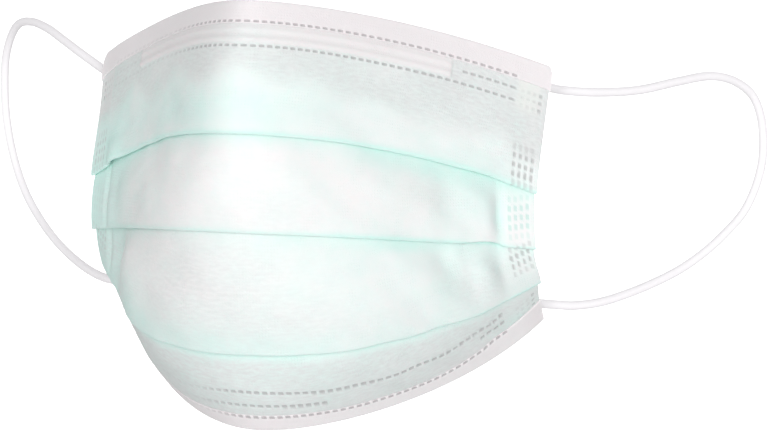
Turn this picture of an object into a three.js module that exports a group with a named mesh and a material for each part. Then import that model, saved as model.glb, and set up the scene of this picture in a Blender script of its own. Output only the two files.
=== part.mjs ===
// Surgical face mask in its worn shape: a pleated sheet bent around a face, two edge strips, a nose wire
// and two elastic ear loops. Millimetres, +Z up. The front of the mask looks along -Y, +X is the right of
// the picture, and the origin is the middle of the top edge, where the mask sits on the bridge of the nose.
import * as THREE from "three";

// Driving sizes of the worn shape
const shapeWidth = 120; // straight across the two top corners
const shapeDepth = 60; // from the bridge of the nose back to the top corners
const shapeHeight = 104; // from the top edge down to the chin, in the middle
const dentDepth = 3; // deepest dent in the cloth
const panelPuff = 1.2; // how far each panel swells between its folds

// Driving sizes of the cloth and its trims
const clothThickness = 1.0;
const layerGap = 0.3; // free space between two layers, and between two pieces
const topStripDepth = 6.3; // outer leaf of the top strip
const topStripBack = 13.6; // inner leaf of the top strip, which covers the nose wire
const bottomStripDepth = 5.6;
const bottomStripBack = 9;
const stripOverhang = 0.3; // each strip runs past the side edges
const wireLength = 116;
const wireWidth = 4.6;
const wireThickness = 0.8;
const wireDown = 8.3; // middle of the wire below the top edge

// Driving sizes of the ear loops
const cordDiameter = 2.4;
const cordSeatDown = 5; // cord below the top edge at its upper weld
const cordSeatUp = 4.4; // cord above the bottom edge at its lower weld
const cordSeatLength = 9; // stretch of cord that lies on the cloth
const cordSeatSlope = 0.35; // how much further from the edge the cord lies for each millimetre inwards

// How finely the faceted surfaces are cut
const columns = 28;
const turnSteps = 4;
const foldSteps = 2;
const panelSteps = 5;
const rowSamples = 40;
const cordSides = 8;
const cordSteps = 56;
const probe = 0.01; // small step for slopes, as a share

const layerPitch = clothThickness + layerGap;
const edgeInset = layerPitch + clothThickness / 2; // room for a strip's fold at the sheet's edge

// The five cross lines of the shape, from the top edge down to the bottom edge. Lengths are shares:
// back and sideBack of the depth, down and sideDown of the height, sideOut and the two reaches of half the
// width. middleReach and sideReach set how long the line stays straight at its middle and at its side,
// sideTurn is its direction at the side, in degrees back from the X axis, and sideFall its slope there.
const crossLines = [
  { name: "top", back: 0, down: 0, sideOut: 1.0, sideBack: 0.988, sideDown: 0.189,
    middleReach: 0.16, sideReach: 0.66, sideTurn: 40, sideFall: 0.37 },
  { name: "first_fold", back: -0.19, down: 0.288, sideOut: 0.986, sideBack: 0.795, sideDown: 0.478,
    middleReach: 0.24, sideReach: 0.60, sideTurn: 39, sideFall: 0.41 },
  { name: "second_fold", back: -0.21, down: 0.511, sideOut: 0.981, sideBack: 0.798, sideDown: 0.613,
    middleReach: 0.38, sideReach: 0.54, sideTurn: 47, sideFall: 0.16 },
  { name: "third_fold", back: -0.125, down: 0.806, sideOut: 0.968, sideBack: 0.876, sideDown: 0.709,
    middleReach: 0.465, sideReach: 0.51, sideTurn: 59, sideFall: -0.28 },
  { name: "bottom", back: 0.102, down: 1.003, sideOut: 0.951, sideBack: 1.062, sideDown: 0.812,
    middleReach: 0.28, sideReach: 0.405, sideTurn: 50, sideFall: -0.69 },
];

// The three pleats. Each tucks the sheet up behind the panel above it, by a share of that panel's height.
const pleats = [
  { name: "first_pleat", middleTuck: 0.19, sideTuck: 0.40 },
  { name: "second_pleat", middleTuck: 0.23, sideTuck: 0.80 },
  { name: "third_pleat", middleTuck: 0.16, sideTuck: 0.84 },
];

// Dents and swellings of the cloth. across runs from -1 at the left edge to 1 at the right edge, down
// counts the cross lines from 0 at the top to 4 at the bottom, and both reaches are in the same units.
// depth is a share of the deepest dent, and a swelling's depth is negative.
const dents = [
  { name: "left_hollow", across: -0.77, down: 2.45, reachAcross: 0.10, reachDown: 0.42, depth: 0.9 },
  { name: "left_shoulder", across: -0.52, down: 2.5, reachAcross: 0.12, reachDown: 0.45, depth: -0.5 },
  { name: "right_crease", across: 0.87, down: 1.5, reachAcross: 0.03, reachDown: 0.35, depth: 0.3 },
  { name: "right_swelling", across: 0.79, down: 1.5, reachAcross: 0.06, reachDown: 0.3, depth: -0.3 },
  { name: "right_bump", across: 0.79, down: 2.4, reachAcross: 0.05, reachDown: 0.3, depth: -0.4 },
  { name: "right_pucker", across: 0.68, down: 2.15, reachAcross: 0.05, reachDown: 0.25, depth: 0.35 },
  { name: "cheek_hollow", across: 0.5, down: 0.62, reachAcross: 0.2, reachDown: 0.3, depth: 0.25 },
];

// Routes of the two free loops, from the top weld round the ear to the bottom weld. Chosen by eye.
const rightRoute = [
  [61.5, 65, -26], [68, 71.5, -27], [77.5, 82, -27.2], [86, 92, -25.7], [92, 99.5, -24.9], [95.5, 103.7, -25.5],
  [99, 108.5, -27.5], [102, 112.6, -31], [103.8, 115.2, -36.5], [104.4, 116.5, -43], [104.2, 116.7, -49],
  [102.9, 115.7, -55.2], [100.3, 113, -61.8], [96, 108.2, -67.4], [91.3, 103, -72], [86, 97, -75.8],
  [80.2, 90.4, -78.6], [74.6, 83.9, -80.6], [69.3, 78, -81.9], [63.5, 72, -82.1], [58.5, 67, -81.2],
];
const leftRoute = [
  [-61, 65, -25], [-65.9, 69, -23.3], [-72.2, 73.5, -20.8], [-79, 79, -18.2], [-86.2, 85.5, -15.8],
  [-94, 93, -14.8], [-100.4, 99.3, -16], [-105.5, 105.3, -20.2], [-109.3, 110, -27.1], [-110.8, 112.5, -35.5],
  [-110.8, 113.2, -43], [-109.4, 112.5, -50.6], [-106.3, 109.8, -58], [-101.7, 105.5, -64.6],
  [-95.2, 99.5, -70.4], [-87, 91.5, -75.2], [-78.2, 83, -78.5], [-69.5, 75, -80.5], [-63.2, 70, -81.1],
  [-58.4, 66.8, -80.8],
];

// One cross line from the middle to the right side, as a curve
function halfLine(line) {
  const halfWidth = shapeWidth / 2;
  const turn = THREE.MathUtils.degToRad(line.sideTurn);
  const middle = new THREE.Vector3(0, line.back * shapeDepth, -line.down * shapeHeight);
  const side = new THREE.Vector3(
    line.sideOut * halfWidth,
    line.sideBack * shapeDepth,
    -line.sideDown * shapeHeight,
  );
  const outward = new THREE.Vector3(Math.cos(turn), Math.sin(turn), -line.sideFall);
  const nearMiddle = middle.clone().add(new THREE.Vector3(line.middleReach * halfWidth, 0, 0));
  const nearSide = side.clone().addScaledVector(outward, -line.sideReach * halfWidth);
  return new THREE.CubicBezierCurve3(middle, nearMiddle, nearSide, side);
}

const halfLines = crossLines.map(halfLine);
const lineLengths = halfLines.map((curve) => curve.getLength());
const halfSheet = lineLengths[0]; // half the flat width of the sheet

// Point of a cross line at a share of half its length, from -1 to 1, and straight on past its ends
function linePoint(index, across) {
  const share = Math.abs(across);
  const point = halfLines[index].getPointAt(Math.min(share, 1));
  if (share > 1) {
    const past = (share - 1) * lineLengths[index];
    point.addScaledVector(halfLines[index].getTangentAt(1), past);
  }
  if (across < 0) {
    point.x = -point.x;
  }
  return point;
}

const lastLine = crossLines.length - 1;
const ribs = new Map();

// The rib that crosses all five lines at one place, with the length down to each sample of it
function ribAt(across) {
  if (!ribs.has(across)) {
    const curve = new THREE.CatmullRomCurve3(
      crossLines.map((line, index) => linePoint(index, across)),
      false,
      "centripetal",
    );
    ribs.set(across, { curve, lengths: curve.getLengths(lastLine * rowSamples) });
  }
  return ribs.get(across);
}

// Length down a rib to one of the cross lines
function downTo(across, index) {
  return ribAt(across).lengths[index * rowSamples];
}

// Place on a rib, counted in cross lines, at a length down from the top edge
function lineCount(across, down) {
  const { lengths } = ribAt(across);
  let sample = 0;
  while (sample < lengths.length - 2 && lengths[sample + 1] < down) {
    sample += 1;
  }
  const step = lengths[sample + 1] - lengths[sample];
  return (sample + (down - lengths[sample]) / step) / rowSamples;
}

// Point of the smooth shape at a place counted in cross lines, straight on past the two edges
function shapePoint(across, count) {
  const { curve } = ribAt(across);
  const share = count / lastLine;
  const inside = THREE.MathUtils.clamp(share, 0, 1);
  const point = curve.getPoint(inside);
  if (inside !== share) {
    const beside = curve.getPoint(Math.abs(inside - probe));
    const edgeSlope = point.clone().sub(beside).divideScalar(inside - Math.abs(inside - probe));
    point.addScaledVector(edgeSlope, share - inside);
  }
  return point;
}

// How far the dents push the cloth inwards at one place
function dentAt(across, count) {
  let total = 0;
  for (const dent of dents) {
    const sideways = (across - dent.across) / dent.reachAcross;
    const downwards = (count - dent.down) / dent.reachDown;
    total += dent.depth * Math.exp(-(sideways ** 2) - downwards ** 2);
  }
  return total * dentDepth;
}

// Point at a length down from the top edge and a distance out from the smooth shape
function sheetPoint(across, down, out) {
  const count = lineCount(across, down);
  const point = shapePoint(across, count);
  const downSlope = shapePoint(across, count + probe).sub(shapePoint(across, count - probe));
  const acrossSlope = shapePoint(across + probe, count).sub(shapePoint(across - probe, count));
  const outward = downSlope.cross(acrossSlope).normalize();
  return point.addScaledVector(outward, out - dentAt(across, count));
}

// Distance of a panel's cloth from the smooth shape. Each lower panel starts behind the fold above it and
// comes forward to its own fold, and every panel swells a little in between.
function panelOut(across, down, panel) {
  const start = downTo(across, panel);
  const end = downTo(across, panel + 1);
  const share = (down - start) / (end - start);
  const lap = panel === 0 ? 0 : -2 * layerPitch * (1 - share);
  const swell = panelPuff * Math.sin(Math.PI * THREE.MathUtils.clamp(share, 0, 1));
  return lap + swell * (1 - across ** 2);
}

// How deep a pleat tucks at one place across the mask
function tuckAt(across, pleat) {
  const { middleTuck, sideTuck } = pleats[pleat];
  const height = downTo(across, pleat + 1) - downTo(across, pleat);
  return height * THREE.MathUtils.lerp(middleTuck, sideTuck, across ** 2);
}

// The half turn of the cloth at a fold: facing is 1 for a fold that points down and -1 for one that points up
function foldTurn(down, out, facing) {
  const radius = layerPitch / 2;
  const points = [];
  for (let step = 1; step < turnSteps; step += 1) {
    const angle = (Math.PI * step) / turnSteps;
    points.push({
      down: down + facing * radius * Math.sin(angle),
      out: out - radius + radius * Math.cos(angle),
    });
  }
  return points;
}

// The middle of the cloth down one rib, through the panels and the folds between them
function bodyPath(across) {
  const path = [];
  for (let panel = 0; panel < lastLine; panel += 1) {
    const start = downTo(across, panel) + (panel === 0 ? edgeInset : 0);
    const end = downTo(across, panel + 1) - (panel + 1 === lastLine ? edgeInset : 0);
    for (let step = panel === 0 ? 0 : 1; step <= panelSteps; step += 1) {
      const down = THREE.MathUtils.lerp(start, end, step / panelSteps);
      path.push({ down, out: panelOut(across, down, panel) });
    }
    if (panel < pleats.length) {
      const inner = end - tuckAt(across, panel);
      path.push(...foldTurn(end, panelOut(across, end, panel), 1));
      for (let step = 0; step <= foldSteps; step += 1) {
        const down = THREE.MathUtils.lerp(end, inner, step / foldSteps);
        path.push({ down, out: panelOut(across, down, panel) - layerPitch });
      }
      path.push(...foldTurn(inner, panelOut(across, inner, panel) - layerPitch, -1));
      for (let step = 0; step <= foldSteps; step += 1) {
        const down = THREE.MathUtils.lerp(inner, end, step / foldSteps);
        path.push({ down, out: panelOut(across, down, panel) - 2 * layerPitch });
      }
    }
  }
  return path;
}

// A path with half a thickness added on each side, as one closed outline
function thicken(path, thickness) {
  const half = thickness / 2;
  const front = [];
  const back = [];
  path.forEach((point, index) => {
    const before = path[Math.max(index - 1, 0)];
    const after = path[Math.min(index + 1, path.length - 1)];
    const along = new THREE.Vector2(point.down - before.down, point.out - before.out).normalize();
    along.add(new THREE.Vector2(after.down - point.down, after.out - point.out).normalize()).normalize();
    front.push({ down: point.down - along.y * half, out: point.out + along.x * half });
    back.push({ down: point.down + along.y * half, out: point.out - along.x * half });
  });
  return [...front, ...back.reverse()];
}

// A closed body swept across the mask: outlineAt gives its closed outline at each column
function sweptBody(acrossList, outlineAt) {
  const positions = [];
  const outlines = acrossList.map((across) => outlineAt(across));
  const size = outlines[0].length;
  outlines.forEach((outline, column) => {
    for (const { down, out } of outline) {
      positions.push(...sheetPoint(acrossList[column], down, out).toArray());
    }
  });
  const faces = [];
  for (let column = 0; column < acrossList.length - 1; column += 1) {
    for (let corner = 0; corner < size; corner += 1) {
      const next = (corner + 1) % size;
      const a = column * size + corner;
      const b = column * size + next;
      faces.push(a, b, a + size, b, b + size, a + size);
    }
  }
  const lastColumn = (acrossList.length - 1) * size;
  for (let corner = 0; corner < size / 2 - 1; corner += 1) {
    const facing = size - 1 - corner;
    faces.push(corner, facing, corner + 1, corner + 1, facing, facing - 1);
    faces.push(lastColumn + corner, lastColumn + corner + 1, lastColumn + facing);
    faces.push(lastColumn + corner + 1, lastColumn + facing - 1, lastColumn + facing);
  }
  const geometry = new THREE.BufferGeometry();
  geometry.setAttribute("position", new THREE.Float32BufferAttribute(positions, 3));
  geometry.setIndex(faces);
  return geometry;
}

// Even places across the mask, from one limit to the other
function evenColumns(limit, count) {
  return Array.from({ length: count + 1 }, (value, index) => limit * ((2 * index) / count - 1));
}

// The pleated sheet
function maskBody() {
  return sweptBody(evenColumns(1, columns), (across) => thicken(bodyPath(across), clothThickness));
}

const wireReach = wireLength / 2 / halfSheet;
const rampLength = 1.5; // how quickly the strip rises over the wire
const wireLift = wireThickness + layerGap;

// Columns of the top strip, with extra ones where its inner leaf rises over the wire's ends
function stripColumns(limit) {
  const edges = [wireReach + layerGap / halfSheet, wireReach + rampLength / halfSheet];
  const extra = edges.flatMap((edge) => [-edge, edge]);
  const even = evenColumns(limit, columns).filter((across) =>
    extra.every((edge) => Math.abs(edge - across) > rampLength / halfSheet));
  return [...even, ...extra].sort((a, b) => a - b);
}

// Strip folded over the top edge, with its inner leaf raised over the nose wire
function topPath(across) {
  const covered = Math.abs(across) < wireReach + (layerGap + probe) / halfSheet;
  const lift = covered ? wireLift : 0;
  const reach = wireWidth / 2 + layerGap;
  const leaf = (down, out) => ({ down, out: panelOut(across, down, 0) + out });
  const path = [];
  for (let step = 0; step <= foldSteps; step += 1) {
    path.push(leaf(THREE.MathUtils.lerp(topStripDepth, edgeInset, step / foldSteps), layerPitch));
  }
  for (let step = 1; step < turnSteps; step += 1) {
    const angle = (Math.PI * step) / turnSteps;
    path.push(leaf(edgeInset - layerPitch * Math.sin(angle), layerPitch * Math.cos(angle)));
  }
  path.push(
    leaf(edgeInset, -layerPitch),
    leaf(wireDown - reach - rampLength, -layerPitch),
    leaf(wireDown - reach, -layerPitch - lift),
    leaf(wireDown, -layerPitch - lift),
    leaf(wireDown + reach, -layerPitch - lift),
    leaf(wireDown + reach + rampLength, -layerPitch),
    leaf(topStripBack, -layerPitch),
  );
  return path;
}

function topBinding() {
  const limit = 1 + stripOverhang / halfSheet;
  return sweptBody(stripColumns(limit), (across) => thicken(topPath(across), clothThickness));
}

// Strip folded over the bottom edge
function bottomPath(across) {
  const edge = downTo(across, lastLine);
  const turn = edge - edgeInset;
  const lastPanel = lastLine - 1;
  const leaf = (down, out) => ({ down, out: panelOut(across, down, lastPanel) + out });
  const path = [];
  for (let step = 0; step <= foldSteps; step += 1) {
    path.push(leaf(THREE.MathUtils.lerp(edge - bottomStripDepth, turn, step / foldSteps), layerPitch));
  }
  for (let step = 1; step < turnSteps; step += 1) {
    const angle = (Math.PI * step) / turnSteps;
    path.push(leaf(turn + layerPitch * Math.sin(angle), layerPitch * Math.cos(angle)));
  }
  for (let step = 0; step <= foldSteps; step += 1) {
    path.push(leaf(THREE.MathUtils.lerp(turn, edge - bottomStripBack, step / foldSteps), -layerPitch));
  }
  return path;
}

function bottomBinding() {
  const limit = 1 + stripOverhang / halfSheet;
  return sweptBody(evenColumns(limit, columns), (across) => thicken(bottomPath(across), clothThickness));
}

// Flat wire between the sheet and the inner leaf of the top strip
function noseWire() {
  const out = -(clothThickness / 2 + layerGap + wireThickness / 2);
  const edges = [wireDown - wireWidth / 2, wireDown, wireDown + wireWidth / 2];
  const path = (across) => edges.map((down) => ({ down, out: panelOut(across, down, 0) + out }));
  const covered = stripColumns(1).filter((across) => Math.abs(across) < wireReach);
  return sweptBody([-wireReach, ...covered, wireReach], (across) => thicken(path(across), wireThickness));
}

// Middle of a cord where it lies against the inner leaf of a strip, at a length in from the side edge and
// at a length down the top panel, or up the bottom one
function cordSeat(side, inward, panel) {
  const across = side * (1 - inward / halfSheet);
  const lean = cordSeatSlope * inward;
  const down = panel === 0 ? cordSeatDown + lean : downTo(across, lastLine) - cordSeatUp - lean;
  const leafOut = panelOut(across, down, panel) - layerPitch;
  return sheetPoint(across, down, leafOut - clothThickness / 2 - layerGap - cordDiameter / 2);
}

// One ear loop: welded behind the top corner, round the free route, welded behind the bottom corner
function earLoop(side, route) {
  const inwards = [cordSeatLength, cordSeatLength / 2, -stripOverhang];
  const points = [
    ...inwards.map((inward) => cordSeat(side, inward, 0)),
    ...route.map(([x, y, z]) => new THREE.Vector3(x, y, z)),
    ...inwards.reverse().map((inward) => cordSeat(side, inward, lastLine - 1)),
  ];
  const section = new THREE.Shape();
  for (let corner = 0; corner < cordSides; corner += 1) {
    const angle = (2 * Math.PI * (corner + 0.5)) / cordSides;
    const x = (cordDiameter / 2) * Math.cos(angle);
    const y = (cordDiameter / 2) * Math.sin(angle);
    if (corner === 0) {
      section.moveTo(x, y);
    } else {
      section.lineTo(x, y);
    }
  }
  section.closePath();
  return new THREE.ExtrudeGeometry(section, {
    steps: cordSteps,
    bevelEnabled: false,
    extrudePath: new THREE.CatmullRomCurve3(points, false, "centripetal"),
  });
}

const mintCloth = new THREE.MeshStandardMaterial({ color: 0xe2efea, roughness: 0.9, metalness: 0 });
const whiteStrip = new THREE.MeshStandardMaterial({ color: 0xf0eded, roughness: 0.9, metalness: 0 });
const wireCoating = new THREE.MeshStandardMaterial({ color: 0xf4f3f1, roughness: 0.45, metalness: 0 });
const elastic = new THREE.MeshStandardMaterial({ color: 0xf6f3f5, roughness: 0.8, metalness: 0 });

const mask = new THREE.Group();

function addPiece(name, geometry, material) {
  const piece = new THREE.Mesh(geometry, material);
  piece.name = name;
  mask.add(piece);
}

addPiece("mask_body", maskBody(), mintCloth);
addPiece("top_binding", topBinding(), whiteStrip);
addPiece("bottom_binding", bottomBinding(), whiteStrip);
addPiece("nose_wire", noseWire(), wireCoating);
addPiece("ear_loop_right", earLoop(1, rightRoute), elastic);
addPiece("ear_loop_left", earLoop(-1, leftRoute), elastic);

export default mask;
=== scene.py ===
# Looks of the surgical face mask: thin folded cloth, welded strips, knitted ear loops, camera and light.
# Sizes are in millimetres, in the CAD frame, and turn into metres when a mesh is made.
import math

import bpy
import numpy as np
from mathutils import Matrix, Vector


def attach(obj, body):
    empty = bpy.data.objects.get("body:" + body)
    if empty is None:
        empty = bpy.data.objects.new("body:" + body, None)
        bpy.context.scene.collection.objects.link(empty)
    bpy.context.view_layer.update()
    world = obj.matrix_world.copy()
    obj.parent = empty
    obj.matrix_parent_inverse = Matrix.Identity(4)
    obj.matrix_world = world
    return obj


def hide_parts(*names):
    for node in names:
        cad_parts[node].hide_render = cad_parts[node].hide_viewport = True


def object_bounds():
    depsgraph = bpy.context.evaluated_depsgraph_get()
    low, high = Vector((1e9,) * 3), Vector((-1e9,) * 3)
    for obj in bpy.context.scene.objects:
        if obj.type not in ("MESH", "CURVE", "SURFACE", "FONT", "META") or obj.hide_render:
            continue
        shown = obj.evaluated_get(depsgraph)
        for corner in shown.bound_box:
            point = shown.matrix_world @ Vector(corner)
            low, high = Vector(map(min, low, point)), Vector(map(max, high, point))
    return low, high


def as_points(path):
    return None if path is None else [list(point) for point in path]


MM = 0.001

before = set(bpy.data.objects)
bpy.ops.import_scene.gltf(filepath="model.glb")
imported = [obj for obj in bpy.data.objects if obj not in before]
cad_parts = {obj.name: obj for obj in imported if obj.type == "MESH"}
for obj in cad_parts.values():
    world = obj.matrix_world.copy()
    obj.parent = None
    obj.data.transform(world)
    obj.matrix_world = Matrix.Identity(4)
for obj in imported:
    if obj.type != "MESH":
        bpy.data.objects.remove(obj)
cad_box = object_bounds()

# Driving sizes of the worn shape, the same as in the source
SHAPE_WIDTH = 120.0
SHAPE_DEPTH = 60.0
SHAPE_HEIGHT = 104.0
DENT_DEPTH = 3.0
PANEL_PUFF = 1.2

# Driving sizes of the cloth and its trims. The real cloth is thinner than the CAD solids.
CLOTH_THICKNESS = 0.45
LAYER_GAP = 0.17
LAYER_PITCH = CLOTH_THICKNESS + LAYER_GAP
STRIP_THICKNESS = 0.18
STRIP_GAP = 0.08
STRIP_OUT = CLOTH_THICKNESS / 2 + STRIP_GAP + STRIP_THICKNESS / 2
EDGE_INSET = STRIP_OUT + STRIP_THICKNESS / 2
TOP_STRIP_DEPTH = 6.2
TOP_STRIP_BACK = 13.6
BOTTOM_STRIP_DEPTH = 5.65
BOTTOM_STRIP_BACK = 9.0
STRIP_OVERHANG = 0.3
WIRE_LENGTH = 116.0
WIRE_WIDTH = 4.6
WIRE_THICKNESS = 0.5
WIRE_DOWN = 8.3
WIRE_RAMP = 1.2

# Ear loops
CORD_DIAMETER = 2.4
CORD_SEAT_DOWN = 5.0
CORD_SEAT_UP = 4.4
CORD_SEAT_LENGTH = 9.0
CORD_SEAT_SLOPE = 0.35

# The five cross lines of the shape, as shares of the driving sizes: back, down, side_out, side_back,
# side_down, middle_reach, side_reach, side_turn in degrees, side_fall
CROSS_LINES = (
    (0.0, 0.0, 1.0, 0.988, 0.189, 0.16, 0.66, 40, 0.37),
    (-0.19, 0.288, 0.986, 0.795, 0.478, 0.24, 0.60, 39, 0.41),
    (-0.21, 0.511, 0.981, 0.798, 0.613, 0.38, 0.54, 47, 0.16),
    (-0.125, 0.806, 0.968, 0.876, 0.709, 0.465, 0.51, 59, -0.28),
    (0.102, 1.003, 0.951, 1.062, 0.812, 0.28, 0.405, 50, -0.69),
)
LAST_LINE = len(CROSS_LINES) - 1

# The three pleats: how far each tucks up behind its panel in the middle and at the side, as shares
PLEATS = ((0.19, 0.40), (0.23, 0.80), (0.16, 0.84))

# Dents and swellings: across, down in cross lines, reach across, reach down, depth as a share
DENTS = (
    (-0.77, 2.45, 0.10, 0.42, 0.9), (-0.52, 2.5, 0.12, 0.45, -0.5), (0.87, 1.5, 0.03, 0.35, 0.3),
    (0.79, 1.5, 0.06, 0.3, -0.3), (0.79, 2.4, 0.05, 0.3, -0.4), (0.68, 2.15, 0.05, 0.25, 0.35),
    (0.5, 0.62, 0.2, 0.3, 0.25),
)

# Routes of the two ear loops from the top weld round the ear to the bottom weld
RIGHT_ROUTE = (
    (61.5, 65, -26), (68, 71.5, -27), (77.5, 82, -27.2), (86, 92, -25.7), (92, 99.5, -24.9),
    (95.5, 103.7, -25.5), (99, 108.5, -27.5), (102, 112.6, -31), (103.8, 115.2, -36.5), (104.4, 116.5, -43),
    (104.2, 116.7, -49), (102.9, 115.7, -55.2), (100.3, 113, -61.8), (96, 108.2, -67.4), (91.3, 103, -72),
    (86, 97, -75.8), (80.2, 90.4, -78.6), (74.6, 83.9, -80.6), (69.3, 78, -81.9), (63.5, 72, -82.1),
    (58.5, 67, -81.2),
)
LEFT_ROUTE = (
    (-61, 65, -25), (-65.9, 69, -23.3), (-72.2, 73.5, -20.8), (-79, 79, -18.2), (-86.2, 85.5, -15.8),
    (-94, 93, -14.8), (-100.4, 99.3, -16), (-105.5, 105.3, -20.2), (-109.3, 110, -27.1),
    (-110.8, 112.5, -35.5), (-110.8, 113.2, -43), (-109.4, 112.5, -50.6), (-106.3, 109.8, -58),
    (-101.7, 105.5, -64.6), (-95.2, 99.5, -70.4), (-87, 91.5, -75.2), (-78.2, 83, -78.5),
    (-69.5, 75, -80.5), (-63.2, 70, -81.1), (-58.4, 66.8, -80.8),
)


def lerp(start, end, share):
    return start + (end - start) * share


def smooth_step(value):
    share = np.clip(value, 0, 1)
    return share * share * (3 - 2 * share)


def bell(value, centre, reach):
    return np.exp(-(((value - centre) / reach) ** 2))


# From 0 at start to 1 at start + width
def ramp(value, start, width):
    return smooth_step((value - start) / width)


# Sum of soft round patches: place across, down in cross lines, both reaches, strength
def patch_sum(patches, across, count):
    total = 0
    for place, down, reach, reach_down, strength in patches:
        total = total + strength * bell(across, place, reach) * bell(count, down, reach_down)
    return total


# Length from the start of a line of points to each of them
def lengths_along(line):
    return np.concatenate([[0], np.cumsum(np.linalg.norm(np.diff(line, axis=0), axis=1))])


# Slope, square and cube terms of the smooth curve from the second to the third of four points
def curve_terms(p0, p1, p2, p3):
    d0, d1, d2 = (
        np.linalg.norm(b - a, axis=-1, keepdims=True) ** 0.5 for a, b in ((p0, p1), (p1, p2), (p2, p3))
    )
    slope1 = ((p1 - p0) / d0 - (p2 - p0) / (d0 + d1) + (p2 - p1) / d1) * d1
    slope2 = ((p2 - p1) / d1 - (p3 - p1) / (d1 + d2) + (p3 - p2) / d2) * d1
    return slope1, -3 * p1 + 3 * p2 - 2 * slope1 - slope2, 2 * p1 - 2 * p2 + slope1 + slope2


LINE_SAMPLES = 801  # points on each half of a cross line


# The right half of a cross line: its points, the length to each and its end direction
def half_line(line):
    back, down, side_out, side_back, side_down, middle_reach, side_reach, turn, fall = line
    half_width = SHAPE_WIDTH / 2
    middle = np.array([0, back * SHAPE_DEPTH, -down * SHAPE_HEIGHT])
    side = np.array([side_out * half_width, side_back * SHAPE_DEPTH, -side_down * SHAPE_HEIGHT])
    outward = np.array([math.cos(math.radians(turn)), math.sin(math.radians(turn)), -fall])
    near_middle = middle + np.array([middle_reach * half_width, 0, 0])
    near_side = side - side_reach * half_width * outward
    t = np.linspace(0, 1, LINE_SAMPLES)[:, None]
    points = (
        (1 - t) ** 3 * middle
        + 3 * (1 - t) ** 2 * t * near_middle
        + 3 * (1 - t) * t ** 2 * near_side
        + t ** 3 * side
    )
    return points, lengths_along(points), outward / np.linalg.norm(outward)


HALF_LINES = [half_line(line) for line in CROSS_LINES]
HALF_SHEET = HALF_LINES[0][1][-1]


# Points of all five cross lines at each share across, and straight on past the side edges
def line_points(across):
    share = np.abs(across)
    lines = []
    for points, lengths, outward in HALF_LINES:
        length = np.minimum(share, 1) * lengths[-1]
        at = np.stack([np.interp(length, lengths, points[:, axis]) for axis in range(3)], axis=-1)
        at += np.maximum(share - 1, 0)[:, None] * lengths[-1] * outward
        at[:, 0] *= np.where(across < 0, -1, 1)
        lines.append(at)
    return np.stack(lines, axis=1)


# Points of the smooth shape, for one share across and one row of counts for each column
def shape_points(across, count):
    knots = line_points(across)
    before = 2 * knots[:, :1] - knots[:, 1:2]
    after = 2 * knots[:, -1:] - knots[:, -2:-1]
    knots = np.hstack([before, knots, after])
    inside = np.clip(count, 0, LAST_LINE)
    piece = np.minimum(inside.astype(int), LAST_LINE - 1)
    t = (inside - piece)[..., None]
    column = np.arange(len(knots))[:, None]
    p0, p1, p2, p3 = (knots[column, piece + step] for step in range(4))
    slope1, square, cube = curve_terms(p0, p1, p2, p3)
    point = p1 + slope1 * t + square * t ** 2 + cube * t ** 3
    slope = slope1 + 2 * square * t + 3 * cube * t ** 2
    return point + slope * (count - inside)[..., None]


SAMPLES = np.linspace(0, LAST_LINE, 161)
PROBE = 0.01  # step to each side for the slopes of the shape


# Length down each column's rib to each sample of it
def rib_lengths(across):
    points = shape_points(across, np.broadcast_to(SAMPLES, (len(across), len(SAMPLES))))
    steps = np.linalg.norm(np.diff(points, axis=1), axis=-1)
    return np.hstack([np.zeros((len(across), 1)), np.cumsum(steps, axis=1)])


# The columns of one swept piece
class Columns:
    def __init__(self, across):
        self.across = np.asarray(across, float)
        self.x = self.across * HALF_SHEET
        self.lengths = rib_lengths(self.across)
        per_line = (len(SAMPLES) - 1) // LAST_LINE
        self.lines = [self.lengths[:, index * per_line] for index in range(LAST_LINE + 1)]

    # Places counted in cross lines for lengths down, also past the two edges
    def count_at(self, down):
        counts = np.empty_like(down)
        for column, lengths in enumerate(self.lengths):
            inside = np.interp(down[column], lengths, SAMPLES)
            first = (SAMPLES[1] - SAMPLES[0]) / (lengths[1] - lengths[0])
            last = (SAMPLES[-1] - SAMPLES[-2]) / (lengths[-1] - lengths[-2])
            above = np.minimum(down[column], 0) * first
            below = np.maximum(down[column] - lengths[-1], 0) * last
            counts[column] = inside + above + below
        return counts

    # Points at a length down from the top edge and a distance out from the smooth shape
    def points(self, down, out):
        count = self.count_at(down)
        point = shape_points(self.across, count)
        across, x = self.across, self.x[:, None]
        down_slope = shape_points(across, count + PROBE) - shape_points(across, count - PROBE)
        side_slope = shape_points(across + PROBE, count) - shape_points(across - PROBE, count)
        outward = np.cross(down_slope, side_slope)
        outward /= np.linalg.norm(outward, axis=-1, keepdims=True)
        dents = DENT_DEPTH * patch_sum(DENTS, across[:, None], count)
        raised = out - dents + wrinkles(x, count, down)
        sideways = side_slope / np.linalg.norm(side_slope, axis=-1, keepdims=True)
        return point + outward * raised[..., None] + sideways * side_flare(x, count)[..., None]


# How far the right side edge stands out past the smooth shape beside the third panel
def side_flare(x, count):
    return 1.7 * ramp(x, 76, 11) * bell(count, 2.95, 0.6)


# Sum of plane waves of random direction and phase, about 1 high, with wavelengths between two limits
class Ripples:
    def __init__(self, seed, waves, shortest, longest, stretch=(1, 1)):
        random = np.random.default_rng(seed)
        length = random.uniform(shortest, longest, waves)
        angle = random.uniform(0, math.pi, waves)
        self.x_rate = 2 * math.pi * np.cos(angle) / length
        self.y_rate = 2 * math.pi * np.sin(angle) / length
        self.phase = random.uniform(0, 2 * math.pi, waves)
        self.height = (2 / waves) ** 0.5
        self.stretch = stretch

    def __call__(self, x, y):
        x = x * self.stretch[0]
        y = y * self.stretch[1]
        total = 0
        for x_rate, y_rate, phase in zip(self.x_rate, self.y_rate, self.phase):
            total = total + np.sin(x * x_rate + y * y_rate + phase)
        return total * self.height * 0.5


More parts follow.
